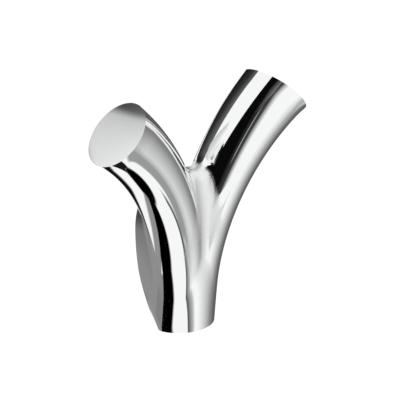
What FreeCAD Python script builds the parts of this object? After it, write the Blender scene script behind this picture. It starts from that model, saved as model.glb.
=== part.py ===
# Double robe hook: a cast body with two flared horns, its concealed wall bracket and set screw.
# Frame: origin on the wall plane at the centre of the bracket, +Y into the wall, +Z up.
import FreeCAD, Part
import math
import os
from FreeCAD import Placement, Rotation, Vector

# Driving dimensions, in millimetres and degrees

# Horns: two round tubes that share a foot, rise, and curl away from each other
FOOT_RADIUS = 9.5
END_RADIUS = 12.75
HORN_SPREAD = 5.7
STRAIGHT_LENGTH = 14.0
BEND_RADIUS = 89.0
BEND_ANGLE = 51.0
LEAN_ANGLE = 5.9
AXIS_STANDOFF = 8.6
FOOT_DROP = 28.0
CROTCH_RADIUS = 6.5

# Foot core: a cone that fills the groove between the horns at the foot
CORE_FOOT_RADIUS = 11.2
CORE_TOP_RADIUS = 9.0
CORE_HEIGHT = 22.0

# End faces: flat ovals that look up and outwards, tipped a little towards the wall
END_FACE_TILT = 45.0
END_FACE_BACK_TILT = 6.0
END_EDGE_RADIUS = 0.8

# Wall boss: an egg outline on the wall that narrows into the back of the horns
BOSS_WIDTH = 28.6
BOSS_FLANK_RADIUS = 100.0
BOSS_WIDEST_RISE = 8.6
BOSS_TOP_RISE = 28.0
BOSS_DEPTH = 9.5
BOSS_FRONT_TOP_RISE = 26.0
BOSS_FRONT_INSET = 0.1
BOSS_FRONT_FLANK_RADIUS = 900.0

# Side flats: planes that trim the two back corners of the foot
FLAT_FRONT_HALF_WIDTH = 12.7
FLAT_BACK_HALF_WIDTH = 7.0
FLAT_FRONT_STANDOFF = 11.6
FLAT_RISE_ANGLE = 18.4

# Recess in the back of the boss, and the bracket that fills it
RECESS_WALL = 3.2
RECESS_TOP_RISE = 18.5
RECESS_FLOOR = 9.0
RECESS_DEPTH = 8.5
BRACKET_CLEARANCE = 0.3
BRACKET_THICKNESS = 7.5

# Wall screw holes in the bracket
SCREW_SPACING = 20.0
SCREW_HOLE_DIAMETER = 4.5
SCREW_HEAD_DIAMETER = 8.6

# Set screw that clamps the body to the bracket from below
SET_SCREW_DIAMETER = 5.0
SET_SCREW_LENGTH = 8.0
SET_SCREW_STANDOFF = 4.5
SET_SCREW_POINT_HEIGHT = 1.6
SET_SCREW_CLEARANCE = 0.1
HEX_SOCKET_FLATS = 2.5
HEX_SOCKET_DEPTH = 3.0

# Working values

ORIGIN = Vector(0, 0, 0)
SIDE = Vector(1, 0, 0)
INTO_WALL = Vector(0, 1, 0)
VERTICAL = Vector(0, 0, 1)
LEAN = math.radians(LEAN_ANGLE)
RISE = Vector(0, -math.sin(LEAN), math.cos(LEAN))
HORN_FOOT = Vector(HORN_SPREAD / 2, -AXIS_STANDOFF, -FOOT_DROP)
HORN_LENGTH = STRAIGHT_LENGTH + BEND_RADIUS * math.radians(BEND_ANGLE)
HORN_SECTIONS = 13
OVERRUN = 6.0
CUTTER_SIZE = 4 * (HORN_LENGTH + BEND_RADIUS)


def horn_station(distance):
    """Centre, direction and outward normal of the right horn's axis at a distance from the foot."""
    turned = max(distance - STRAIGHT_LENGTH, 0) / BEND_RADIUS
    rise = min(distance, STRAIGHT_LENGTH) + BEND_RADIUS * math.sin(turned)
    reach = BEND_RADIUS * (1 - math.cos(turned))
    centre = HORN_FOOT + RISE * rise + SIDE * reach
    direction = RISE * math.cos(turned) + SIDE * math.sin(turned)
    outward = SIDE * math.cos(turned) - RISE * math.sin(turned)
    return centre, direction, outward


def horn_radius(distance):
    """Radius of a horn, which flares with the square of the distance from the foot."""
    share = max(distance, 0) / HORN_LENGTH
    return FOOT_RADIUS + (END_RADIUS - FOOT_RADIUS) * share ** 2


def horn_section(distance):
    centre, direction, outward = horn_station(distance)
    circle = Part.Edge(Part.Circle(ORIGIN, VERTICAL, horn_radius(distance)))
    turn = Rotation(outward, direction.cross(outward), direction, "ZXY")
    wire = Part.Wire([circle])
    wire.Placement = Placement(centre, turn)
    return wire


def half_space(point, normal):
    """A large block whose one face passes through the point, on the side that the normal points to."""
    corner = Vector(-CUTTER_SIZE / 2, -CUTTER_SIZE / 2, 0)
    block = Part.makeBox(CUTTER_SIZE, CUTTER_SIZE, CUTTER_SIZE, corner)
    block.Placement = Placement(point, Rotation(VERTICAL, normal))
    return block


def mirrored(shape):
    return shape.mirror(ORIGIN, SIDE)


def end_face_normal():
    tilt = math.radians(END_FACE_TILT)
    back = math.radians(END_FACE_BACK_TILT)
    upright = SIDE * math.sin(tilt) + VERTICAL * math.cos(tilt)
    return upright * math.cos(back) + INTO_WALL * math.sin(back)


def right_horn():
    first = -OVERRUN
    step = (HORN_LENGTH + OVERRUN - first) / (HORN_SECTIONS - 1)
    sections = [horn_section(first + step * index) for index in range(HORN_SECTIONS)]
    horn = Part.makeLoft(sections, True)
    end_centre = horn_station(HORN_LENGTH)[0]
    horn = horn.cut(half_space(end_centre, end_face_normal()))
    end_face = max(horn.Faces, key=lambda face: face.CenterOfMass.z)
    return horn.makeFillet(END_EDGE_RADIUS, end_face.Edges)


def below_foot():
    return half_space(VERTICAL * -FOOT_DROP, -VERTICAL)


def horn_pair():
    """Both horns joined, cut flat at the foot and blended where they part."""
    horn = right_horn()
    pair = horn.fuse(mirrored(horn)).cut(below_foot())
    seam = [edge for edge in pair.Edges if edge.BoundBox.XLength < 0.001]
    return pair.makeFillet(CROTCH_RADIUS, seam)


def foot_core():
    taper = (CORE_FOOT_RADIUS - CORE_TOP_RADIUS) / CORE_HEIGHT
    start = Vector(0, -AXIS_STANDOFF, -FOOT_DROP) - RISE * OVERRUN
    start_radius = CORE_FOOT_RADIUS + taper * OVERRUN
    return Part.makeCone(start_radius, CORE_TOP_RADIUS, CORE_HEIGHT + OVERRUN, start, RISE)


def egg_wire(half_width, flank_radius, top_rise, bottom, standoff):
    """Closed outline parallel to the wall: a flat foot, two flank arcs and a half ellipse on top."""
    flank_centre = half_width - flank_radius

    def flank_point(side, drop):
        across = flank_centre + math.sqrt(flank_radius ** 2 - drop ** 2)
        return Vector(side * across, -standoff, BOSS_WIDEST_RISE - drop)

    full_drop = BOSS_WIDEST_RISE - bottom
    right = [flank_point(1, full_drop * share) for share in (1, 0.5, 0)]
    left = [flank_point(-1, full_drop * share) for share in (1, 0.5, 0)]
    crown = Part.Arc(SIDE, VERTICAL, -SIDE).toShape()
    stretch = FreeCAD.Matrix()
    stretch.scale(half_width, 1, top_rise - BOSS_WIDEST_RISE)
    stretch.move(Vector(0, -standoff, BOSS_WIDEST_RISE))
    crown = crown.transformGeometry(stretch)
    edges = [
        Part.LineSegment(left[0], right[0]).toShape(),
        Part.Arc(*right).toShape(),
        crown,
        Part.Arc(*left).toShape(),
    ]
    return Part.Wire(Part.sortEdges(edges)[0])


def wall_boss():
    """The boss: straight rulings from the egg outline on the wall to a plainer one inside the horns."""
    front_half_width = HORN_SPREAD / 2 + FOOT_RADIUS - BOSS_FRONT_INSET
    foot = -FOOT_DROP
    on_wall = egg_wire(BOSS_WIDTH / 2, BOSS_FLANK_RADIUS, BOSS_TOP_RISE, foot, 0)
    in_horns = egg_wire(front_half_width, BOSS_FRONT_FLANK_RADIUS, BOSS_FRONT_TOP_RISE, foot, BOSS_DEPTH)
    return Part.makeLoft([on_wall, in_horns], True, True)


def side_flat():
    """The block that trims the right back corner of the foot."""
    front = Vector(FLAT_FRONT_HALF_WIDTH, -FLAT_FRONT_STANDOFF, -FOOT_DROP)
    back = Vector(FLAT_BACK_HALF_WIDTH, 0, -FOOT_DROP)
    slope = math.radians(FLAT_RISE_ANGLE)
    upward = SIDE * math.sin(slope) + VERTICAL * math.cos(slope)
    outside = half_space(front, (back - front).cross(upward))
    return outside.common(half_space(VERTICAL * BOSS_WIDEST_RISE, -VERTICAL))


def recess_prism(inset, depth):
    """The recess, or with an inset the bracket that fits it, from the wall to a depth."""
    narrower = RECESS_WALL + inset
    half_width = BOSS_WIDTH / 2 - narrower
    bottom = -FOOT_DROP + RECESS_FLOOR + inset
    wire = egg_wire(half_width, BOSS_FLANK_RADIUS - narrower, RECESS_TOP_RISE - inset, bottom, 0)
    return Part.Face(wire).extrude(-INTO_WALL * depth)


def set_screw_axis(height):
    return Vector(0, -SET_SCREW_STANDOFF, height)


def set_screw_hole():
    bottom = set_screw_axis(-FOOT_DROP - OVERRUN)
    return Part.makeCylinder(SET_SCREW_DIAMETER / 2, RECESS_FLOOR + OVERRUN, bottom)


def bracket_bottom():
    return -FOOT_DROP + RECESS_FLOOR + BRACKET_CLEARANCE


def hook_body():
    flat = side_flat()
    body = horn_pair().fuse([foot_core(), wall_boss()])
    body = body.cut([half_space(ORIGIN, INTO_WALL), below_foot(), flat, mirrored(flat)])
    return body.cut([recess_prism(0, RECESS_DEPTH), set_screw_hole()])


def screw_hole(height):
    shank = Part.makeCylinder(SCREW_HOLE_DIAMETER / 2, BRACKET_THICKNESS, Vector(0, 0, height), -INTO_WALL)
    sink_depth = (SCREW_HEAD_DIAMETER - SCREW_HOLE_DIAMETER) / 2
    sink_start = Vector(0, -BRACKET_THICKNESS + sink_depth, height)
    sink = Part.makeCone(SCREW_HOLE_DIAMETER / 2, SCREW_HEAD_DIAMETER / 2, sink_depth, sink_start, -INTO_WALL)
    return shank.fuse(sink)


def set_screw_point(base_height):
    """The set screw's cone point, which is also the form of its dimple in the bracket."""
    base_radius = SET_SCREW_POINT_HEIGHT
    return Part.makeCone(base_radius, 0, SET_SCREW_POINT_HEIGHT, set_screw_axis(base_height))


def wall_bracket():
    plate = recess_prism(BRACKET_CLEARANCE, BRACKET_THICKNESS)
    dimple = set_screw_point(bracket_bottom())
    holes = [screw_hole(side * SCREW_SPACING / 2) for side in (1, -1)]
    return plate.cut(holes + [dimple])


def hex_socket(base):
    corner_radius = HEX_SOCKET_FLATS / math.sqrt(3)
    turns = [math.radians(60 * corner) for corner in range(7)]
    corners = [base + Vector(math.cos(turn), math.sin(turn), 0) * corner_radius for turn in turns]
    outline = Part.Face(Part.makePolygon(corners))
    return outline.extrude(VERTICAL * HEX_SOCKET_DEPTH)


def set_screw():
    radius = SET_SCREW_DIAMETER / 2 - SET_SCREW_CLEARANCE
    point_base = bracket_bottom() - SET_SCREW_CLEARANCE
    base = set_screw_axis(point_base - SET_SCREW_LENGTH)
    shank = Part.makeCylinder(radius, SET_SCREW_LENGTH, base)
    return shank.fuse(set_screw_point(point_base)).cut(hex_socket(base))


def main():
    os.makedirs("parts", exist_ok=True)
    pieces = {
        "hook_body": hook_body(),
        "wall_bracket": wall_bracket(),
        "set_screw": set_screw(),
    }
    for name, shape in pieces.items():
        solid = shape.Solids[0]
        print(name, len(shape.Solids), "solid, valid", solid.isValid(), "volume", round(solid.Volume, 1))
        solid.exportStep("parts/" + name + ".step")


main()
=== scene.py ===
"""Double robe hook: a polished chrome casting with two flared horns on a concealed wall bracket.

The frame is the part's own: origin on the wall plane at the centre of the bracket, +Y into the wall, +Z up.
Sizes are in millimetres until a mesh is written, and every finished mesh is in metres.
"""

import logging
import math
from dataclasses import dataclass, fields
from enum import Enum
from typing import Any, Callable, Sequence

import bmesh
import bpy
import numpy as np
from mathutils import Matrix, Vector


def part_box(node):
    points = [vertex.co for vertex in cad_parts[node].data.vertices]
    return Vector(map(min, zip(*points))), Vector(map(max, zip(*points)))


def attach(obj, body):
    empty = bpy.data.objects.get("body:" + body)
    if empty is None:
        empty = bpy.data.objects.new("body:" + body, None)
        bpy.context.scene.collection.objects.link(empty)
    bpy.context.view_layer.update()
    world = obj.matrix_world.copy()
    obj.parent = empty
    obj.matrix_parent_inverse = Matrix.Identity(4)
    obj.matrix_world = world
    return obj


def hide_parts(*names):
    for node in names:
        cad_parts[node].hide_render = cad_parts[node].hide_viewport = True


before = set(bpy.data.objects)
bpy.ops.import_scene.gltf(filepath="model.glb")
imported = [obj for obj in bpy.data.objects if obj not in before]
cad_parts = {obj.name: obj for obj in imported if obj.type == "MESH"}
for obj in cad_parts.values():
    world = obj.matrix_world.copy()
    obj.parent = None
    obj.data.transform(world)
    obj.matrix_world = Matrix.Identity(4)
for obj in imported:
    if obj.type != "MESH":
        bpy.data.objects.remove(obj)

LOG = logging.getLogger("robe_hook")
MILLIMETRE = 0.001
ROOT_BODY = "root"
TINY = 1e-6
LEAST_LENGTH = 1e-12
SLOPE_STEP = 1e-3
Slope = tuple[Any, Any, Any]
Corner = tuple[float, float]

# Blending of the casting's forms, in millimetres, shares and cosines
MOST_ALIKE = 0.97
ARC_EDGE_STEEPNESS = 20.0
CROTCH_FADE_RATE = 1.5
CROTCH_FADE_DELAY = 0.5
DOME_LEVEL = 0.5
FLAT_TOP = 2.0
FLAT_FADE = 0.8
VALLEY_EDGE = 3.0
VALLEY_MIDDLE = 0.5

# Marks on the metals
SATIN_ROUGHNESS = 0.36
LEAST_ROUGHNESS = 0.01
HAZE_DETAIL = 4.0
LINE_DETAIL = 3.0
NOISE_MIDDLE = 0.5
TINT_SWING = 0.06
TINT_MIDDLE = 0.985


class Node(str, Enum):
    """Names of the solids that the scene dresses or stands for."""

    BODY = "hook_body"
    BRACKET = "wall_bracket"
    SCREW = "set_screw"


class Slot(str, Enum):
    """Names of the material slots in the record."""

    CHROME = "polished_chrome"
    BRACKET = "bracket_metal"
    SCREW = "screw_steel"


class NodeValue:
    """A number that varies in space, held as the output of a math node."""

    def __init__(self, tree: bpy.types.NodeTree, socket: bpy.types.NodeSocket) -> None:
        """Keep the tree and the socket that carries the number."""
        self.tree = tree
        self.socket = socket

    def join(self, operation: str, *others: Any, first: Any = None) -> "NodeValue":
        """Put this number and others through a math node.

        Args:
            operation: The math node's operation.
            others: The numbers or node values after this one.
            first: A plain number that goes before this one, if any.

        Returns:
            The node's output.
        """
        node = self.tree.nodes.new("ShaderNodeMath")
        node.operation = operation
        values = ([] if first is None else [first]) + [self, *others]
        for place, value in zip(node.inputs, values):
            if isinstance(value, NodeValue):
                self.tree.links.new(value.socket, place)
            else:
                place.default_value = float(value)
        return NodeValue(self.tree, node.outputs[0])

    def __add__(self, other: Any) -> "NodeValue":
        """Sum."""
        return self.join("ADD", other)

    __radd__ = __add__

    def __mul__(self, other: Any) -> "NodeValue":
        """Product."""
        return self.join("MULTIPLY", other)

    __rmul__ = __mul__

    def __sub__(self, other: Any) -> "NodeValue":
        """Difference."""
        return self.join("SUBTRACT", other)

    def __rsub__(self, other: Any) -> "NodeValue":
        """Difference from a plain number."""
        return self.join("SUBTRACT", first=other)

    def __truediv__(self, other: Any) -> "NodeValue":
        """Quotient."""
        return self.join("DIVIDE", other)

    def __rtruediv__(self, other: Any) -> "NodeValue":
        """Quotient of a plain number."""
        return self.join("DIVIDE", first=other)

    def __neg__(self) -> "NodeValue":
        """Negative."""
        return self.join("MULTIPLY", -1.0)


def both_ways(operation: str, plain: Callable[..., Any]) -> Callable[..., Any]:
    """Make a function that works on arrays and on node values alike.

    Args:
        operation: The math node's operation.
        plain: The same function for arrays and plain numbers.

    Returns:
        The function. Where it has two numbers, a node value comes first if there is one.
    """

    def choose(*values: Any) -> Any:
        """Use a math node for node values, and the plain function for the rest."""
        if isinstance(values[0], NodeValue):
            return values[0].join(operation, *values[1:])
        return plain(*values)

    return choose


larger = both_ways("MAXIMUM", np.maximum)
smaller = both_ways("MINIMUM", np.minimum)
root = both_ways("SQRT", np.sqrt)
magnitude = both_ways("ABSOLUTE", np.abs)
bearing = both_ways("ARCTAN2", np.arctan2)
sine = both_ways("SINE", np.sin)
cosine = both_ways("COSINE", np.cos)


def length_of(*parts: Any) -> Any:
    """Length of a vector from its parts."""
    return root(sum((part * part for part in parts[1:]), parts[0] * parts[0]))


def round_union(one: Any, other: Any, radius: Any, along: Any = 0.0) -> Any:
    """Join two fields with the valley that a rolling ball leaves between them.

    Args:
        one: Distance outside the first form.
        other: Distance outside the second form.
        radius: The ball's radius.
        along: Cosine of the angle between the two slopes, between -1 and 1.

    Returns:
        The joined distance.
    """
    from_one, from_other = radius - one, radius - other
    near_one = larger(from_one, larger(from_other, 0.0) * along)
    near_other = larger(from_other, larger(from_one, 0.0) * along)
    square = near_one * near_one + near_other * near_other - near_one * near_other * along * 2.0
    return larger(smaller(one, other), radius) - root(larger(square, 0.0)) / root(-(along * along) + 1.0)


def round_cut(one: Any, other: Any, radius: Any) -> Any:
    """Keep what lies inside both fields, with a rounded edge of about that radius."""
    return -round_union(-one, -other, radius)


def alike(one: Slope, other: Slope) -> Any:
    """Cosine of the angle between two slopes, kept short of parallel."""
    product = one[0] * other[0] + one[1] * other[1] + one[2] * other[2]
    return smaller(larger(product, -MOST_ALIKE), MOST_ALIKE)


def ease(value: Any) -> Any:
    """Smooth step from 0 to 1."""
    share = smaller(larger(value, 0.0), 1.0)
    return share * share * (3.0 - share * 2.0)


@dataclass
class CastingSizes:
    """Sizes of the casting, in millimetres and radians."""

    foot_radius: Any = 9.5
    end_radius: Any = 12.57
    horn_spread: Any = 5.7
    straight_length: Any = 14.0
    bend_radius: Any = 89.0
    bend_angle: Any = math.radians(51.0)
    lean_angle: Any = math.radians(5.9)
    axis_standoff: Any = 8.6
    foot_drop: Any = 28.0
    foot_bulge: Any = 1.45
    front_taper: Any = 0.056
    groove_start: Any = 22.0
    groove_ease: Any = 6.0
    groove_slope: Any = 0.065
    groove_radius: Any = 5.0
    groove_rise: Any = 41.0
    crotch_radius: Any = 7.0
    crotch_rise: Any = 58.0
    end_face_tilt: Any = math.radians(46.2)
    end_face_back_tilt: Any = math.radians(5.5)
    end_face_shift: Any = -0.07
    end_dome_rise: Any = 0.55
    end_excess: Any = 1.5
    lip_length: Any = 4.0
    lip_flare: Any = 0.1
    boss_half_width: Any = 14.3
    boss_flank_radius: Any = 100.0
    boss_widest_rise: Any = 8.6
    boss_top_rise: Any = 28.0
    boss_depth: Any = 9.5
    boss_front_half_width: Any = 12.25
    boss_front_flank_radius: Any = 900.0
    boss_front_top_rise: Any = 26.0
    boss_blend: Any = 3.0
    flat_front_half_width: Any = 12.7
    flat_back_half_width: Any = 7.0
    flat_front_standoff: Any = 11.6
    flat_rise_angle: Any = math.radians(18.4)
    flat_edge_radius: Any = 0.8


def lean_over(out: Any, up: Any, size: CastingSizes) -> tuple[Any, Any]:
    """Parts of a vector along the leaning axis of the horns and behind their plane.

    Args:
        out: Its part towards the wall.
        up: Its part upwards.
        size: The casting's sizes.

    Returns:
        The rise and the depth.
    """
    lean_sine, lean_cosine = sine(size.lean_angle), cosine(size.lean_angle)
    return up * lean_cosine - out * lean_sine, out * lean_cosine + up * lean_sine


def horn_field(across: Any, rise: Any, depth: Any, size: CastingSizes) -> tuple[Any, Slope]:
    """Distance outside a flared horn that stands straight, then bends towards +X.

    Args:
        across: Distance sideways from the casting's middle plane.
        rise: Distance up the leaning axis from the foot.
        depth: Distance behind the leaning plane of the horns.
        size: The casting's sizes.

    Returns:
        The distance, negative inside, and its slope across, up and back.
    """
    to_bend_centre = size.bend_radius - (across - size.horn_spread / 2.0)
    past_straight = larger(rise - size.straight_length, 0.0)
    turned = bearing(past_straight, to_bend_centre)
    station = smaller(rise, size.straight_length) + size.bend_radius * turned
    full_length = size.straight_length + size.bend_radius * size.bend_angle
    share = larger(station, 0.0) / full_length
    lip = larger(station - full_length, -size.lip_length) / size.lip_length + 1.0
    slow_flare = size.end_radius - size.foot_radius - size.lip_flare
    flare = share * share * slow_flare + lip * lip * size.lip_flare
    swing = length_of(to_bend_centre, past_straight)
    off_axis = swing - size.bend_radius
    from_axis = length_of(off_axis, depth) + TINY
    in_plane = off_axis / from_axis / swing
    slope = (-(in_plane * to_bend_centre), in_plane * past_straight, depth / from_axis)
    return from_axis - flare - size.foot_radius, slope


def stem_front_field(across: Any, rise: Any, depth: Any, size: CastingSizes) -> Any:
    """How far one arc from horn to horn stands out in front of a horn.

    The arc bulges at the foot and is hollow higher up.

    Args:
        across: Distance sideways from the casting's middle plane, not negative.
        rise: Distance up the leaning axis from the foot.
        depth: Distance behind the leaning plane of the horns.
        size: The casting's sizes.

    Returns:
        What the arc adds to a horn at that place, never negative.
    """
    past_straight = smaller(larger(rise - size.straight_length, 0.0), size.crotch_rise)
    bend = size.bend_radius - root(size.bend_radius * size.bend_radius - past_straight * past_straight)
    apart = bend + size.horn_spread / 2.0
    past_start = larger(rise - size.groove_start, 0.0)
    deeper = past_start * past_start / (past_start + size.groove_ease)
    stand_out = size.foot_bulge - rise * size.front_taper - deeper * size.groove_slope
    squeeze = stand_out * 2.0 / larger(apart * apart - stand_out * stand_out, 1.0)
    span = length_of(across * squeeze, depth * squeeze - 1.0) + length_of(apart * squeeze, 1.0)
    arc = ((across * across + depth * depth - apart * apart) * squeeze - depth * 2.0) / span
    horn = length_of(across - apart, depth)
    between = ease((apart * (1.0 - depth * squeeze) - across) * ARC_EDGE_STEEPNESS) * ease(-depth)
    fade_length = size.crotch_rise - size.groove_rise
    below_crotch = ease((size.crotch_rise - rise) * CROTCH_FADE_RATE / fade_length - CROTCH_FADE_DELAY)
    return larger(horn - arc, 0.0) * between * below_crotch


def end_centre(size: CastingSizes) -> tuple[Any, Any, Any]:
    """Middle of the end face of the horn on the +X side.

    Args:
        size: The casting's sizes.

    Returns:
        The place, in millimetres.
    """
    up_axis = size.straight_length + size.bend_radius * sine(size.bend_angle)
    x = size.horn_spread / 2.0 + size.bend_radius * (1.0 - cosine(size.bend_angle))
    y = -size.axis_standoff - up_axis * sine(size.lean_angle)
    return x, y, up_axis * cosine(size.lean_angle) - size.foot_drop


def end_face_field(x: Any, y: Any, z: Any, size: CastingSizes) -> Any:
    """Distance beyond the slightly domed end face of the horn on the place's side.

    Args:
        x: Sideways place, in millimetres.
        y: Place towards the wall.
        z: Height.
        size: The casting's sizes.

    Returns:
        The distance, negative on the horn's side.
    """
    centre_x, centre_y, centre_z = end_centre(size)
    x_out, y_out, z_out = magnitude(x) - centre_x, y - centre_y, z - centre_z
    outward = x_out * sine(size.end_face_tilt) + z_out * cosine(size.end_face_tilt)
    beyond = outward * cosine(size.end_face_back_tilt) + y_out * sine(size.end_face_back_tilt)
    off_centre = x_out * x_out + y_out * y_out + z_out * z_out - beyond * beyond
    dome = off_centre / (size.end_radius * size.end_radius) - DOME_LEVEL
    return beyond - size.end_face_shift + dome * size.end_dome_rise


def boss_field(across: Any, y: Any, z: Any, size: CastingSizes) -> tuple[Any, Slope]:
    """Distance outside the egg-shaped wall boss, which narrows from the wall into the horns.

    Args:
        across: Distance sideways from the casting's middle plane, not negative.
        y: Place towards the wall.
        z: Height.
        size: The casting's sizes.

    Returns:
        The distance, negative inside, and about its slope along X, Y and Z.
    """
    share = smaller(larger(-y / size.boss_depth, 0.0), 1.0)

    def between(on_wall: Any, in_horns: Any) -> Any:
        """Mix a size on the wall and in the horns."""
        return share * (in_horns - on_wall) + on_wall

    half_width = between(size.boss_half_width, size.boss_front_half_width)
    crown = between(size.boss_top_rise, size.boss_front_top_rise) - size.boss_widest_rise
    bulge = between(1.0 / size.boss_flank_radius, 1.0 / size.boss_front_flank_radius)
    drop = larger(size.boss_widest_rise - z, 0.0)
    rise = larger(z - size.boss_widest_rise, 0.0)
    wide, high = across / half_width, rise / crown
    reach = length_of(wide, high)
    steep = length_of(wide / half_width, high / crown) + TINY
    outline = reach * (reach - 1.0) / steep + bulge * (drop * drop) / 2.0
    taper = (size.boss_front_half_width - size.boss_half_width) / size.boss_depth
    out, up = wide / half_width / steep, high / crown / steep
    slope = (out * cosine(taper), out * sine(taper), up)
    return larger(outline, -y - size.boss_depth), slope


def flat_field(across: Any, y: Any, z: Any, size: CastingSizes) -> Any:
    """Distance outside the flat that trims a back corner of the foot, fading out above it.

    Args:
        across: Distance sideways from the casting's middle plane, not negative.
        y: Place towards the wall.
        z: Height.
        size: The casting's sizes.

    Returns:
        The distance, negative inside.
    """
    run = size.flat_front_half_width - size.flat_back_half_width
    lean, upright = sine(size.flat_rise_angle), cosine(size.flat_rise_angle)
    normal = (size.flat_front_standoff * upright, run * upright, -size.flat_front_standoff * lean)
    total = length_of(*normal)
    reach = (across - size.flat_front_half_width) * normal[0] + (y + size.flat_front_standoff) * normal[1]
    above = larger(z - FLAT_TOP, 0.0) * FLAT_FADE
    return (reach + (z + size.foot_drop) * normal[2]) / total - above


def casting_field(x: Any, y: Any, z: Any, size: CastingSizes) -> Any:
    """Distance outside the whole casting before it is cut at the wall, at the foot and at its end faces.

    Args:
        x: Sideways place, as an array or a node value, in millimetres.
        y: Place towards the wall.
        z: Height.
        size: The casting's sizes, as numbers or node values.

    Returns:
        The blended distance, negative inside.
    """
    rise, depth = lean_over(y + size.axis_standoff, z + size.foot_drop, size)
    across = magnitude(x)
    near, near_slope = horn_field(across, rise, depth, size)
    far, far_slope = horn_field(-across, rise, depth, size)
    near = larger(near, end_face_field(across, y, z, size) - size.end_excess)
    parting = ease((rise - size.groove_rise) / (size.crotch_rise - size.groove_rise))
    valley = parting * (size.crotch_radius - size.groove_radius) + size.groove_radius
    body = round_union(near, far, valley, alike(near_slope, (-far_slope[0], *far_slope[1:])))
    body = smaller(body, near - stem_front_field(across, rise, depth, size))
    boss, boss_slope = boss_field(across, y, z, size)
    leaning = (boss_slope[0], *lean_over(*boss_slope[1:], size))
    body = round_union(body, boss, size.boss_blend, alike(near_slope, leaning))
    return round_cut(body, flat_field(across, y, z, size), size.flat_edge_radius)


def valley_depth(points: np.ndarray, size: CastingSizes) -> np.ndarray:
    """How deep in the valley between the horns a place is, where a polishing wheel hardly reaches.

    Args:
        points: Places in millimetres, one row each.
        size: The casting's sizes.

    Returns:
        Shares from 0 outside the valley to 1.
    """
    x, y, z = points.T
    rise, depth = lean_over(y + size.axis_standoff, z + size.foot_drop, size)
    far, _ = horn_field(-np.abs(x), rise, depth, size)
    fading = ease((rise - size.groove_start) / (size.groove_rise - size.groove_start))
    return ease((size.crotch_radius - far) / VALLEY_EDGE + VALLEY_MIDDLE) * fading * fading


def field_slope(
    field: Callable[..., Any], points: np.ndarray, size: CastingSizes
) -> tuple[np.ndarray, np.ndarray]:
    """Field and its slope at points.

    Args:
        field: The field, which takes a place's three numbers and the sizes.
        points: Places in millimetres, one row each.
        size: The casting's sizes.

    Returns:
        The field at each point, and its slope vector.
    """
    slope = np.empty_like(points)
    for axis in range(3):
        shift = np.zeros(3)
        shift[axis] = SLOPE_STEP
        ahead = field(*(points + shift).T, size)
        behind = field(*(points - shift).T, size)
        slope[:, axis] = (ahead - behind) / (2 * SLOPE_STEP)
    return field(*points.T, size), slope


def node_of_type(tree: bpy.types.NodeTree, kind: str) -> bpy.types.Node:
    """First node of a type in a tree."""
    return next(node for node in tree.nodes if node.type == kind)


@dataclass(frozen=True)
class Finish:
    """A metal finish: its colour, gloss and the marks of polishing or brushing on it."""

    name: str
    colour: tuple[float, float, float]
    metallic: float
    roughness: float
    roughness_swing: float
    haze_scale: float
    mark_scale: tuple[float, float, float]
    mark_height: float

    def material(self, marks: bpy.types.NodeTree, satin: str = "") -> bpy.types.Material:
        """Build the material.

        Args:
            marks: The shared node group of metal marks.
            satin: Name of a mesh attribute that says where the surface is satin, if there is one.

        Returns:
            The material.
        """
        made = bpy.data.materials.new(self.name)
        made.use_nodes = True
        tree = made.node_tree
        shader = node_of_type(tree, "BSDF_PRINCIPLED")
        shader.inputs["Metallic"].default_value = self.metallic
        place = tree.nodes.new("ShaderNodeTexCoord")
        group = tree.nodes.new("ShaderNodeGroup")
        group.node_tree = marks
        tree.links.new(place.outputs["Object"], group.inputs["Place"])
        own = {
            "Colour": (*self.colour, 1.0),
            "Roughness": self.roughness,
            "Roughness Swing": self.roughness_swing,
            "Haze Scale": self.haze_scale,
            "Mark Scale": self.mark_scale,
        }
        for name, value in own.items():
            group.inputs[name].default_value = value
        tree.links.new(group.outputs["Colour"], shader.inputs["Base Color"])
        rough = group.outputs["Roughness"]
        if satin:
            where = tree.nodes.new("ShaderNodeAttribute")
            where.attribute_name = satin
            blend = tree.nodes.new("ShaderNodeMix")
            blend.inputs["B"].default_value = SATIN_ROUGHNESS
            tree.links.new(where.outputs["Fac"], blend.inputs["Factor"])
            tree.links.new(rough, blend.inputs["A"])
            rough = blend.outputs["Result"]
        tree.links.new(rough, shader.inputs["Roughness"])
        bump = tree.nodes.new("ShaderNodeBump")
        bump.inputs["Strength"].default_value = 1.0
        bump.inputs["Distance"].default_value = self.mark_height * MILLIMETRE
        tree.links.new(group.outputs["Height"], bump.inputs["Height"])
        tree.links.new(bump.outputs["Normal"], shader.inputs["Normal"])
        return made


CHROME = Finish(
    Slot.CHROME.value, (0.93, 0.935, 0.94), 1.0, 0.035, 0.03, 60.0, (900.0, 900.0, 120.0), 0.00002
)
BRACKET_METAL = Finish(
    Slot.BRACKET.value, (0.6, 0.61, 0.62), 0.55, 0.4, 0.16, 180.0, (60.0, 900.0, 2400.0), 0.004
)
SCREW_STEEL = Finish(
    Slot.SCREW.value, (0.3, 0.3, 0.31), 0.6, 0.3, 0.12, 400.0, (1500.0, 1500.0, 300.0), 0.003
)


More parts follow.
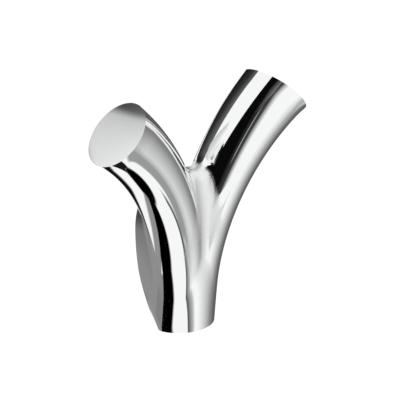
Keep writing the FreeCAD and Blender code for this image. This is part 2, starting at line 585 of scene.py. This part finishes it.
def metal_marks() -> bpy.types.NodeTree:
    """Build the shared group of metal marks: haze in the gloss, and fine lines of polishing or brushing.

    Returns:
        The node group, which gives a colour, a roughness and a height.
    """
    tree = bpy.data.node_groups.new("metal_marks", "ShaderNodeTree")
    inputs = {"Place": "Vector", "Colour": "Color", "Roughness": "Float", "Roughness Swing": "Float"}
    inputs |= {"Haze Scale": "Float", "Mark Scale": "Vector"}
    outputs = {"Colour": "Color", "Roughness": "Float", "Height": "Float"}
    for way, sockets in (("INPUT", inputs), ("OUTPUT", outputs)):
        for name, kind in sockets.items():
            tree.interface.new_socket(name=name, in_out=way, socket_type=f"NodeSocket{kind}")
    enter = tree.nodes.new("NodeGroupInput")
    leave = tree.nodes.new("NodeGroupOutput")
    haze = tree.nodes.new("ShaderNodeTexNoise")
    haze.inputs["Detail"].default_value = HAZE_DETAIL
    tree.links.new(enter.outputs["Place"], haze.inputs["Vector"])
    tree.links.new(enter.outputs["Haze Scale"], haze.inputs["Scale"])
    stretch = tree.nodes.new("ShaderNodeVectorMath")
    stretch.operation = "MULTIPLY"
    tree.links.new(enter.outputs["Place"], stretch.inputs[0])
    tree.links.new(enter.outputs["Mark Scale"], stretch.inputs[1])
    lines = tree.nodes.new("ShaderNodeTexNoise")
    lines.inputs["Scale"].default_value = 1.0
    lines.inputs["Detail"].default_value = LINE_DETAIL
    tree.links.new(stretch.outputs["Vector"], lines.inputs["Vector"])
    centred = NodeValue(tree, haze.outputs["Fac"]) - NOISE_MIDDLE
    swing = NodeValue(tree, enter.outputs["Roughness Swing"])
    fine = NodeValue(tree, lines.outputs["Fac"]) - NOISE_MIDDLE
    rough = NodeValue(tree, enter.outputs["Roughness"]) + (centred + fine) * swing
    tree.links.new(larger(rough, LEAST_ROUGHNESS).socket, leave.inputs["Roughness"])
    tint = tree.nodes.new("ShaderNodeVectorMath")
    tint.operation = "SCALE"
    tree.links.new(enter.outputs["Colour"], tint.inputs[0])
    tree.links.new((centred * TINT_SWING + TINT_MIDDLE).socket, tint.inputs["Scale"])
    tree.links.new(tint.outputs["Vector"], leave.inputs["Colour"])
    tree.links.new(lines.outputs["Fac"], leave.inputs["Height"])
    return tree


def new_object(name: str, mesh: bpy.types.Mesh) -> bpy.types.Object:
    """Put a mesh in the scene as an object at the origin.

    Args:
        name: Name of the object.
        mesh: Its mesh.

    Returns:
        The object.
    """
    made = bpy.data.objects.new(name, mesh)
    bpy.context.scene.collection.objects.link(made)
    return made


def evaluated_mesh(piece: bpy.types.Object) -> bpy.types.Mesh:
    """Plain mesh of an object with its modifiers applied.

    Args:
        piece: The object.

    Returns:
        A new mesh.
    """
    bpy.context.view_layer.update()
    graph = bpy.context.evaluated_depsgraph_get()
    return bpy.data.meshes.new_from_object(piece.evaluated_get(graph), depsgraph=graph)


def read(items: Any, name: str, kind: type, width: int = 1) -> np.ndarray:
    """Read one property of all vertices, edges, loops or faces of a mesh.

    Args:
        items: The mesh's items.
        name: Name of the property.
        kind: Its number type.
        width: How many numbers each item has.

    Returns:
        The numbers, in rows where an item has several.
    """
    values = np.empty(len(items) * width, kind)
    items.foreach_get(name, values)
    return values.reshape(-1, width) if width > 1 else values


def coordinates(mesh: bpy.types.Mesh) -> np.ndarray:
    """Vertex places of a mesh, in its own unit."""
    return read(mesh.vertices, "co", np.float32, 3).astype(float)


def egg_outline(
    half_width: float, flank_radius: float, widest: float, top: float, bottom: float
) -> list[Corner]:
    """Closed outline with a flat foot, two flank arcs and a half ellipse on top.

    Args:
        half_width: Half of the greatest width.
        flank_radius: Radius of the flank arcs.
        widest: Height of the greatest width.
        top: Height of the crown.
        bottom: Height of the foot.

    Returns:
        Points as sideways place and height, anticlockwise seen from the front.
    """
    steps = 24
    right = []
    for step in range(steps + 1):
        drop = (widest - bottom) * (1 - step / steps)
        right.append((half_width - flank_radius + math.sqrt(flank_radius**2 - drop**2), widest - drop))
    turns = [math.pi * step / (2 * steps) for step in range(1, 2 * steps)]
    crown = [(half_width * math.cos(turn), widest + (top - widest) * math.sin(turn)) for turn in turns]
    left = [(-across, height) for across, height in reversed(right)]
    return right + crown + left


def skinned(name: str, loops: Sequence[Sequence[Vector]]) -> bpy.types.Object:
    """Closed block through loops of places, with a face across the first and the last.

    Args:
        name: Name of the object.
        loops: Loops of as many places each, in millimetres.

    Returns:
        The block as an object.
    """
    made = bmesh.new()
    rings = [[made.verts.new(place * MILLIMETRE) for place in loop] for loop in loops]
    made.faces.new(rings[0])
    made.faces.new(rings[-1])
    for low, high in zip(rings, rings[1:]):
        for index in range(len(low)):
            after = (index + 1) % len(low)
            made.faces.new((low[index], low[after], high[after], high[index]))
    bmesh.ops.recalc_face_normals(made, faces=made.faces)
    mesh = bpy.data.meshes.new(name)
    made.to_mesh(mesh)
    made.free()
    return new_object(name, mesh)


@dataclass
class HookBody:
    """The casting: two horns, the web between them, the foot and the wall boss, with its openings.

    Lengths are in millimetres, except for the three tolerances of the cuts, which are in metres.
    """

    size: CastingSizes
    voxel: float = 0.5
    settle_turns: int = 6
    even_turns: int = 3
    even_share: float = 0.5
    least_steep: float = 0.05
    cut_tolerance: float = 1e-7
    middle_tolerance: float = 2e-5
    weld_tolerance: float = 2e-6
    recess_wall: float = 3.2
    recess_top: float = 18.5
    recess_floor: float = 9.0
    recess_depth: float = 8.5
    screw_hole_radius: float = 2.5
    screw_standoff: float = 4.5
    hole_steps: int = 64
    overshoot: float = 1.0
    cutter_reach: float = 17.0
    cutter_height: float = 6.0
    cutter_steps: int = 96
    cutter_rings: int = 10
    margin: float = 2.0
    flat_margin: float = 0.001
    flat_cosine: float = 0.999
    skin_margin: float = 0.02
    skin_cosine: float = 0.8
    satin_attribute: str = "satin"
    end_satin: float = 0.35

    def corners(self) -> tuple[np.ndarray, np.ndarray]:
        """Lowest and highest corner of the space that the casting is made in."""
        low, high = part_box(Node.BODY.value)
        return np.array(low) / MILLIMETRE - self.margin, np.array(high) / MILLIMETRE + self.margin

    def shape_tree(self, material: bpy.types.Material) -> bpy.types.NodeTree:
        """Geometry nodes that fill a block of space with the casting's field and skin it.

        Args:
            material: The casting's material.

        Returns:
            The tree, with one named input for each size.
        """
        tree = bpy.data.node_groups.new("casting_shape", "GeometryNodeTree")
        tree.interface.new_socket(name="Geometry", in_out="OUTPUT", socket_type="NodeSocketGeometry")
        for item in fields(CastingSizes):
            label = item.name.replace("_", " ").title()
            tree.interface.new_socket(name=label, in_out="INPUT", socket_type="NodeSocketFloat")
        enter = tree.nodes.new("NodeGroupInput")
        leave = tree.nodes.new("NodeGroupOutput")
        values = [NodeValue(tree, socket) for socket in enter.outputs[: len(fields(CastingSizes))]]
        place = tree.nodes.new("GeometryNodeInputPosition")
        apart = tree.nodes.new("ShaderNodeSeparateXYZ")
        tree.links.new(place.outputs[0], apart.inputs[0])
        x, y, z = (NodeValue(tree, socket) * (1 / MILLIMETRE) for socket in apart.outputs)
        density = -casting_field(x, y, z, CastingSizes(*values))
        low, high = self.corners()
        block = tree.nodes.new("GeometryNodeVolumeCube")
        block.inputs["Background"].default_value = -1.0
        block.inputs["Min"].default_value = low * MILLIMETRE
        block.inputs["Max"].default_value = high * MILLIMETRE
        for axis, count in zip("XYZ", np.ceil((high - low) / self.voxel).astype(int)):
            block.inputs[f"Resolution {axis}"].default_value = int(count)
        tree.links.new(density.socket, block.inputs["Density"])
        skin = tree.nodes.new("GeometryNodeVolumeToMesh")
        skin.inputs["Threshold"].default_value = 0.0
        tree.links.new(block.outputs[0], skin.inputs["Volume"])
        paint = tree.nodes.new("GeometryNodeSetMaterial")
        paint.inputs["Material"].default_value = material
        real = tree.nodes.new("GeometryNodeRealizeInstances")
        tree.links.new(skin.outputs[0], real.inputs[0])
        tree.links.new(real.outputs[0], paint.inputs["Geometry"])
        tree.links.new(paint.outputs[0], leave.inputs[0])
        return tree

    def rough_mesh(self, material: bpy.types.Material) -> bpy.types.Mesh:
        """Skin of the casting straight from the geometry nodes.

        Args:
            material: The casting's material.

        Returns:
            The skin as a plain mesh.
        """
        holder = new_object("casting_rough", bpy.data.meshes.new("casting_rough"))
        tree = self.shape_tree(material)
        modifier = holder.modifiers.new("shape", "NODES")
        modifier.node_group = tree
        inputs = [item for item in tree.interface.items_tree if item.in_out == "INPUT"]
        for item, own in zip(inputs, fields(CastingSizes)):
            modifier[item.identifier] = float(getattr(self.size, own.name))
        mesh = evaluated_mesh(holder)
        bpy.data.objects.remove(holder)
        return mesh

    def settle(self, mesh: bpy.types.Mesh) -> None:
        """Even out the vertices and set them exactly on the casting's surface.

        Args:
            mesh: The rough skin, which is changed.
        """
        points = coordinates(mesh) / MILLIMETRE
        ends = read(mesh.edges, "vertices", np.int32, 2)
        count = np.bincount(ends.ravel(), minlength=len(points))[:, None]
        for turn in range(self.settle_turns):
            value, slope = field_slope(casting_field, points, self.size)
            steep = np.maximum((slope**2).sum(1), self.least_steep)
            points -= np.clip((value / steep)[:, None] * slope, -self.voxel, self.voxel)
            if turn < self.even_turns:
                total = np.zeros_like(points)
                np.add.at(total, ends[:, 0], points[ends[:, 1]])
                np.add.at(total, ends[:, 1], points[ends[:, 0]])
                points += self.even_share * (total / count - points)
        mesh.vertices.foreach_set("co", (points * MILLIMETRE).astype(np.float32).ravel())
        mesh.update()

    def trim(self, mesh: bpy.types.Mesh) -> None:
        """Cut the casting flat at the wall and at the foot, and close both faces.

        The middle plane divides both faces, so that a hole in one leaves two plain outlines, and what
        nearly lies on that plane is set on it.

        Args:
            mesh: The settled skin, which is changed.
        """
        work = bmesh.new()
        work.from_mesh(mesh)
        planes = (
            ((0, 0, 0), (0, 1, 0), True),
            ((0, 0, -self.size.foot_drop * MILLIMETRE), (0, 0, -1), True),
            ((0, 0, 0), (1, 0, 0), False),
        )
        for point, normal, cut_off in planes:
            cut = bmesh.ops.bisect_plane(
                work,
                geom=work.verts[:] + work.edges[:] + work.faces[:],
                dist=self.cut_tolerance if cut_off else self.middle_tolerance,
                plane_co=point,
                plane_no=normal,
                clear_outer=cut_off,
                use_snap_center=not cut_off,
            )
            if cut_off:
                edges = [item for item in cut["geom_cut"] if isinstance(item, bmesh.types.BMEdge)]
                bmesh.ops.edgeloop_fill(work, edges=[edge for edge in edges if edge.is_boundary])
        bmesh.ops.remove_doubles(work, verts=work.verts, dist=self.weld_tolerance)
        bmesh.ops.dissolve_degenerate(work, edges=work.edges, dist=self.weld_tolerance)
        bmesh.ops.recalc_face_normals(work, faces=work.faces)
        work.to_mesh(mesh)
        work.free()

    def end_cutter(self, side: int) -> bpy.types.Object:
        """Block that cuts a horn off along its slightly domed end face.

        Args:
            side: 1 for the horn on the +X side, -1 for the other.

        Returns:
            The block, hollow underneath by the dome.
        """
        size = self.size
        turn, tilt = size.end_face_tilt, size.end_face_back_tilt
        outward = Vector((math.sin(turn) * math.cos(tilt), math.sin(tilt), math.cos(turn) * math.cos(tilt)))
        across = Vector((math.cos(turn), 0.0, -math.sin(turn)))
        along = outward.cross(across)
        middle = Vector(end_centre(size))
        rings = self.cutter_rings
        circle = [math.tau * step / self.cutter_steps for step in range(self.cutter_steps)]
        rims = [across * math.cos(angle) + along * math.sin(angle) for angle in circle]
        loops = []
        for ring in range(rings + 1):
            reach = self.cutter_reach * min(ring + 1, rings) / rings
            height = self.cutter_height
            if ring < rings:
                dome = (reach / size.end_radius) ** 2 - DOME_LEVEL
                height = size.end_face_shift - dome * size.end_dome_rise
            places = [middle + rim * reach + outward * height for rim in rims]
            loops.append([Vector((side * place.x, place.y, place.z)) for place in places])
        return skinned("end_cutter", loops)

    def cutters(self) -> list[bpy.types.Object]:
        """Blocks of the recess behind the boss, of the screw hole below it and of the two end faces.

        Returns:
            The four blocks, in the order in which they are cut out.
        """
        size = self.size
        floor = self.recess_floor - size.foot_drop
        half_width = size.boss_half_width - self.recess_wall
        flank_radius = size.boss_flank_radius - self.recess_wall
        outline = egg_outline(half_width, flank_radius, size.boss_widest_rise, self.recess_top, floor)
        depths = (-self.recess_depth, self.overshoot)
        recess = skinned("recess", [[Vector((x, y, z)) for x, z in outline] for y in depths])
        turns = [math.tau * step / self.hole_steps for step in range(self.hole_steps)]
        radius, standoff = self.screw_hole_radius, self.screw_standoff
        ring = [(radius * math.cos(turn), radius * math.sin(turn) - standoff) for turn in turns]
        heights = (-size.foot_drop - self.overshoot, floor + self.overshoot)
        hole = skinned("screw_hole", [[Vector((x, y, z)) for x, y in ring] for z in heights])
        return [recess, hole, self.end_cutter(-1), self.end_cutter(1)]

    def hollow(self, piece: bpy.types.Object) -> None:
        """Cut the recess, the screw hole and the end faces out of the casting.

        Args:
            piece: The casting, whose mesh is replaced.
        """
        for cutter in self.cutters():
            modifier = piece.modifiers.new(cutter.name, "BOOLEAN")
            modifier.operation = "DIFFERENCE"
            modifier.solver = "EXACT"
            modifier.object = cutter
            mesh = evaluated_mesh(piece)
            piece.modifiers.clear()
            piece.data = mesh
            bpy.data.objects.remove(cutter)

    def polish(self, mesh: bpy.types.Mesh) -> None:
        """Give curved faces the surface's own normals and flat ones flat normals, and mark what is satin.

        Args:
            mesh: The finished casting, which is changed.
        """
        points = coordinates(mesh) / MILLIMETRE
        corner = read(mesh.loops, "vertex_index", np.int32)
        sides = read(mesh.polygons, "loop_total", np.int32)
        flat = read(mesh.polygons, "normal", np.float32, 3).astype(float)
        normals = np.repeat(flat, sides, axis=0)
        wall = (points[corner, 1] > -self.flat_margin) & (normals[:, 1] > self.flat_cosine)
        foot_top = self.flat_margin - self.size.foot_drop
        foot = (points[corner, 2] < foot_top) & (normals[:, 2] < -self.flat_cosine)
        curved = ~(wall | foot)
        satin = valley_depth(points, self.size)[corner] * curved
        for field, gloss in ((casting_field, None), (end_face_field, self.end_satin)):
            value, slope = field_slope(field, points, self.size)
            slope /= np.linalg.norm(slope, axis=1)[:, None] + LEAST_LENGTH
            agrees = (slope[corner] * normals).sum(1) > self.skin_cosine
            on_it = curved & (np.abs(value[corner]) < self.skin_margin) & agrees
            normals[on_it] = slope[corner][on_it]
            if gloss is not None:
                satin[on_it] = gloss
        mesh.polygons.foreach_set("use_smooth", np.ones(len(mesh.polygons), bool))
        mesh.normals_split_custom_set(normals.tolist())
        marked = mesh.attributes.new(self.satin_attribute, "FLOAT", "CORNER")
        marked.data.foreach_set("value", satin.astype(np.float32))

    def build(self, marks: bpy.types.NodeTree) -> bpy.types.Object:
        """Make the casting and let it stand for the solid.

        Args:
            marks: The shared node group of metal marks.

        Returns:
            The finished piece.
        """
        material = CHROME.material(marks, self.satin_attribute)
        mesh = self.rough_mesh(material)
        self.settle(mesh)
        self.trim(mesh)
        piece = new_object("chrome_casting", mesh)
        self.hollow(piece)
        piece.data.materials.clear()
        piece.data.materials.append(material)
        self.polish(piece.data)
        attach(piece, ROOT_BODY)
        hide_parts(Node.BODY.value)
        return piece


def dress(node: Node, finish: Finish, marks: bpy.types.NodeTree) -> bpy.types.Object:
    """Give a solid that keeps its own shape a finish.

    Args:
        node: The solid.
        finish: Its finish.
        marks: The shared node group of metal marks.

    Returns:
        The solid's object.
    """
    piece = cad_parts[node.value]
    piece.data.materials.clear()
    piece.data.materials.append(finish.material(marks))
    return piece


@dataclass(frozen=True)
class Card:
    """A studio card, a patch of a dome that only mirrors see.

    Corners are degrees right of the camera's side and degrees up. A soft edge's number is the share of the
    card over which it fades. The dome's centre and reach are in millimetres.
    """

    name: str
    low_left: Corner
    low_right: Corner
    high_right: Corner
    high_left: Corner
    left_tone: float
    right_tone: float
    soft_left: float = 0.0
    soft_right: float = 0.0
    soft_low: float = 0.0
    soft_high: float = 0.0
    centre: tuple[float, float, float] = (0.0, 0.0, 0.0)
    reach: float = 3000.0

    def place(self, along: float, up: float) -> Corner:
        """Direction of a place on the card.

        Args:
            along: Share of the way from the left edge to the right edge.
            up: Share of the way from the low edge to the high edge.

        Returns:
            Degrees right of the camera's side, and degrees up.
        """
        low = (1 - along) * np.array(self.low_left) + along * np.array(self.low_right)
        high = (1 - along) * np.array(self.high_left) + along * np.array(self.high_right)
        return tuple((1 - up) * low + up * high)

    def cover(self, along: float, up: float) -> float:
        """How much a place on the card hides what is behind it, from 0 at a soft edge to 1."""
        softs = (self.soft_left, self.soft_right, self.soft_low, self.soft_high)
        edges = zip((along, 1 - along, up, 1 - up), softs)
        return math.prod(min(inside / soft, 1.0) for inside, soft in edges if soft)


# Centre and reach of the near domes, one about the left end face and one about the right horn
BY_FACE = ((-36.9, -19.4, 55.1), 45.0)
BY_HORN = ((22.0, -18.0, 50.0), 260.0)

CARDS = (
    Card("face_card", (-162, 1), (-82, 1), (-82, 60), (-124, 60), 0.56, 1.0, 0.1, 0.1, 0.1, 0.05, *BY_FACE),
    Card("nadir", (-180, -90), (180, -90), (180, -77), (-180, -77), 0, 0, 0, 0, 0, 0.2),
    Card("low_grey", (-118, -80), (-86, -80), (-86, -34), (-126, -34), 0.3, 0.3, 0.2),
    Card("low_grey_top", (-170, -37), (-58, -37), (-58, -6), (-170, -6), 0.3, 0.27, 0.05, 0.1, 0, 0.1),
    Card("left_dim", (-106, -31), (-50, -31), (-50, 10), (-106, 10), 0.08, 0.06, 0.1, 0.1, 0.6, 0.15),
    Card("back_low", (112, -79), (180, -79), (180, -57), (146, -57), 0.01, 0.01, 0.1, 0, 0, 0.15),
    Card("low_black", (-89, -80), (-26, -80), (-29, -45), (-90, -45), 0, 0, 0.03, 0.12),
    Card("low_black_top", (-90, -45), (-29, -45), (-6, -26), (-66, -26), 0, 0, 0.03, 0.12, 0, 0.1),
    Card("back_black", (-178, -58), (-145, -58), (-143, -31), (-178, -31), 0.005, 0.005, 0, 0.15, 0.25, 0.1),
    Card("right_fade", (68, -46), (118, -46), (118, 30), (68, 30), 0.97, 0.27, 0, 0, 0.1, 0.15),
    Card("right_grey", (118, -50), (142, -50), (142, 30), (118, 30), 0.27, 0.12, 0, 0, 0.1, 0.15),
    Card("far_grey", (142, -54), (180, -54), (180, 30), (142, 30), 0.12, 0.1, 0, 0, 0.1, 0.15),
    Card("right_floor", (46, -50), (106, -72), (124, -31), (52, -36), 0.33, 0.36, 0.05, 0.15, 0.1, 0.4),
    Card("line_low", (48, -61), (62, -63), (52, -45), (35, -45), 0.01, 0.3, 0.08, 0.5, 0.1),
    Card("line_high", (35, -45), (58, -45), (57, -23), (29, -23), 0.01, 0.75, 0.06, 0.25, 0, 0.05),
    Card("rear_dark", (-158, -6), (-128, -6), (-124, 58), (-158, 58), 0.004, 0.03, 0.03, 0, 0, 0.1, *BY_HORN),
    Card("rear_grey", (-128, -6), (-90, 8), (-106, 58), (-124, 58), 0.03, 0.14, 0, 0.03, 0, 0.1, *BY_HORN),
    Card("high_black", (-59, 4), (6, -3), (4, 62), (-11, 62), 0.003, 0.003, 0.02, 0.02, 0, 0.1),
    Card("high_dark", (4, -8), (19, -10), (20, 30), (0, 34), 0.01, 0.05),
    Card("high_edge", (19, -10), (32, -12), (31, 26), (20, 30), 0.05, 0.9),
    Card("high_glint", (9.8, 3), (13, 3), (13.6, 27), (10.8, 27), 0.45, 0.45, 0.3, 0.4, 0.15, 0.3),
    Card("high_corner", (2, 27), (22, 27), (40, 66), (2, 66), 0.004, 0.25, 0, 0.3, 0, 0.1),
    Card("ceiling", (95, 42), (255, 42), (255, 88), (95, 88), 0.42, 0.3, 0.2, 0.2, 0.2),
    Card("diagonal", (50, -7), (59, -7), (29, 33), (20, 33), 0.04, 0.04, 0.15, 0.15, 0.15),
)


@dataclass
class Studio:
    """The pale floor, the white surroundings, the cards that the chrome mirrors, and the camera.

    Angles are in degrees. The picture, the focal length and the aim are in pixels, a pixel's width, the foot
    and the sensor in millimetres, and the floor's and the clipping lengths in metres.
    """

    camera_azimuth: float = 40.0
    camera_elevation: float = 22.0
    picture: float = 400.0
    focal_pixels: float = 2840.0
    pixel: float = 0.36
    aim_right: float = -18.07
    aim_up: float = -119.99
    foot: tuple[float, float, float] = (0.0, -8.6, -28.0)
    sensor: float = 36.0
    clip_start: float = 0.01
    clip_end: float = 50.0
    card_gap: float = 0.006
    card_steps: int = 30
    floor_height: float = -0.3
    floor_reach: float = 6.0
    floor_tone: float = 0.82
    floor_roughness: float = 0.9
    floor_glow: float = 0.24

    def axes(self) -> tuple[Vector, Vector, Vector]:
        """Directions of the camera.

        Returns:
            Its right, up and forward directions.
        """
        turn, drop = math.radians(self.camera_azimuth), math.radians(self.camera_elevation)
        level = math.cos(drop)
        right = Vector((math.cos(turn), -math.sin(turn), 0.0))
        forward = Vector((math.sin(turn) * level, math.cos(turn) * level, -math.sin(drop)))
        return right, right.cross(forward), forward

    def camera(self) -> None:
        """Make the camera at the fitted viewing angle."""
        right, up, forward = self.axes()
        shift = forward * -self.focal_pixels - right * self.aim_right - up * self.aim_up
        eye = (Vector(self.foot) + shift * self.pixel) * MILLIMETRE
        data = bpy.data.cameras.new("camera")
        data.sensor_width = self.sensor
        data.lens = self.sensor * self.focal_pixels / self.picture
        data.clip_start, data.clip_end = self.clip_start, self.clip_end
        made = bpy.data.objects.new("camera", data)
        turn = Matrix((right, up, -forward)).transposed()
        made.matrix_world = Matrix.Translation(eye) @ turn.to_4x4()
        bpy.context.scene.collection.objects.link(made)
        bpy.context.scene.camera = made

    def world(self) -> None:
        """Plain white surroundings, which are also the light."""
        world = bpy.data.worlds.new("studio")
        bpy.context.scene.world = world
        world.use_nodes = True
        back = node_of_type(world.node_tree, "BACKGROUND")
        back.inputs["Color"].default_value = (1.0, 1.0, 1.0, 1.0)
        back.inputs["Strength"].default_value = 1.0

    def floor(self) -> None:
        """Plain pale floor well below the hook, which takes its shadow and is clear from underneath."""
        half, height = self.floor_reach / 2, self.floor_height
        mesh = bpy.data.meshes.new("floor")
        corners = [(x * half, y * half, height) for x, y in ((-1, -1), (1, -1), (1, 1), (-1, 1))]
        mesh.from_pydata(corners, [], [(0, 1, 2, 3)])
        made = new_object("floor", mesh)
        material = bpy.data.materials.new("pale_floor")
        material.use_nodes = True
        tree = material.node_tree
        shader = node_of_type(tree, "BSDF_PRINCIPLED")
        shader.inputs["Base Color"].default_value = (*[self.floor_tone] * 3, 1.0)
        shader.inputs["Roughness"].default_value = self.floor_roughness
        shader.inputs["Specular IOR Level"].default_value = 0.0
        shader.inputs["Emission Color"].default_value = (1.0, 1.0, 1.0, 1.0)
        path = tree.nodes.new("ShaderNodeLightPath")
        seen = NodeValue(tree, path.outputs["Is Camera Ray"])
        tree.links.new((seen * self.floor_glow).socket, shader.inputs["Emission Strength"])
        side = tree.nodes.new("ShaderNodeNewGeometry")
        clear = tree.nodes.new("ShaderNodeBsdfTransparent")
        blend = tree.nodes.new("ShaderNodeMixShader")
        leave = node_of_type(tree, "OUTPUT_MATERIAL")
        tree.links.new(side.outputs["Backfacing"], blend.inputs[0])
        tree.links.new(shader.outputs[0], blend.inputs[1])
        tree.links.new(clear.outputs[0], blend.inputs[2])
        tree.links.new(blend.outputs[0], leave.inputs["Surface"])
        mesh.materials.append(material)
        made.visible_glossy = False

    def card_material(self) -> bpy.types.Material:
        """Material that glows as bright as a card's own tone and is clear towards its soft edges.

        Returns:
            The material that all cards share.
        """
        material = bpy.data.materials.new("studio_card")
        material.use_nodes = True
        tree = material.node_tree
        tree.nodes.clear()
        tone = tree.nodes.new("ShaderNodeAttribute")
        tone.attribute_name = "tone"
        cover = tree.nodes.new("ShaderNodeAttribute")
        cover.attribute_name = "cover"
        glow = tree.nodes.new("ShaderNodeEmission")
        clear = tree.nodes.new("ShaderNodeBsdfTransparent")
        blend = tree.nodes.new("ShaderNodeMixShader")
        leave = tree.nodes.new("ShaderNodeOutputMaterial")
        tree.links.new(tone.outputs["Fac"], glow.inputs["Strength"])
        tree.links.new(cover.outputs["Fac"], blend.inputs[0])
        tree.links.new(clear.outputs[0], blend.inputs[1])
        tree.links.new(glow.outputs[0], blend.inputs[2])
        tree.links.new(blend.outputs[0], leave.inputs["Surface"])
        return material

    def card(self, card: Card, material: bpy.types.Material, depth: int) -> None:
        """Make one card as a patch of the dome.

        Args:
            card: Where it is, how bright and how soft.
            material: The cards' shared material.
            depth: Its place in the stack: a later card stands nearer, in front of the earlier ones.
        """
        right, _, forward = self.axes()
        toward = Vector((-forward.x, -forward.y, 0.0)).normalized()
        steps = self.card_steps
        reach = card.reach * (1 - self.card_gap * depth)
        points, tones, covers = [], [], []
        for row in range(steps + 1):
            for column in range(steps + 1):
                along, share = column / steps, row / steps
                turn, rise = map(math.radians, card.place(along, share))
                level = toward * math.cos(turn) + right * math.sin(turn)
                away = level * math.cos(rise) + Vector((0, 0, math.sin(rise)))
                points.append((Vector(card.centre) + away * reach) * MILLIMETRE)
                tones.append(card.left_tone + (card.right_tone - card.left_tone) * along)
                covers.append(card.cover(along, share))
        wide = steps + 1
        firsts = [row * wide + column for row in range(steps) for column in range(steps)]
        faces = [(first, first + 1, first + wide + 1, first + wide) for first in firsts]
        mesh = bpy.data.meshes.new(card.name)
        mesh.from_pydata(points, [], faces)
        for name, values in (("tone", tones), ("cover", covers)):
            mesh.attributes.new(name, "FLOAT", "POINT").data.foreach_set("value", values)
        mesh.materials.append(material)
        made = new_object(card.name, mesh)
        made.visible_camera = made.visible_diffuse = made.visible_shadow = False

    def build(self) -> None:
        """Set up the whole studio."""
        bpy.context.scene.view_settings.view_transform = "Standard"
        self.camera()
        self.world()
        self.floor()
        material = self.card_material()
        for depth, card in enumerate(CARDS):
            self.card(card, material, depth)


def main() -> None:
    """Build the hook and its studio."""
    logging.basicConfig(level=logging.INFO, format="%(name)s: %(message)s")
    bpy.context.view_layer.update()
    marks = metal_marks()
    body = HookBody(CastingSizes()).build(marks)
    LOG.info("%s: %d faces", body.name, len(body.data.polygons))
    for node, finish in ((Node.BRACKET, BRACKET_METAL), (Node.SCREW, SCREW_STEEL)):
        LOG.info("%s dressed", dress(node, finish, marks).name)
    Studio().build()


if __name__ == "__main__":
    main()
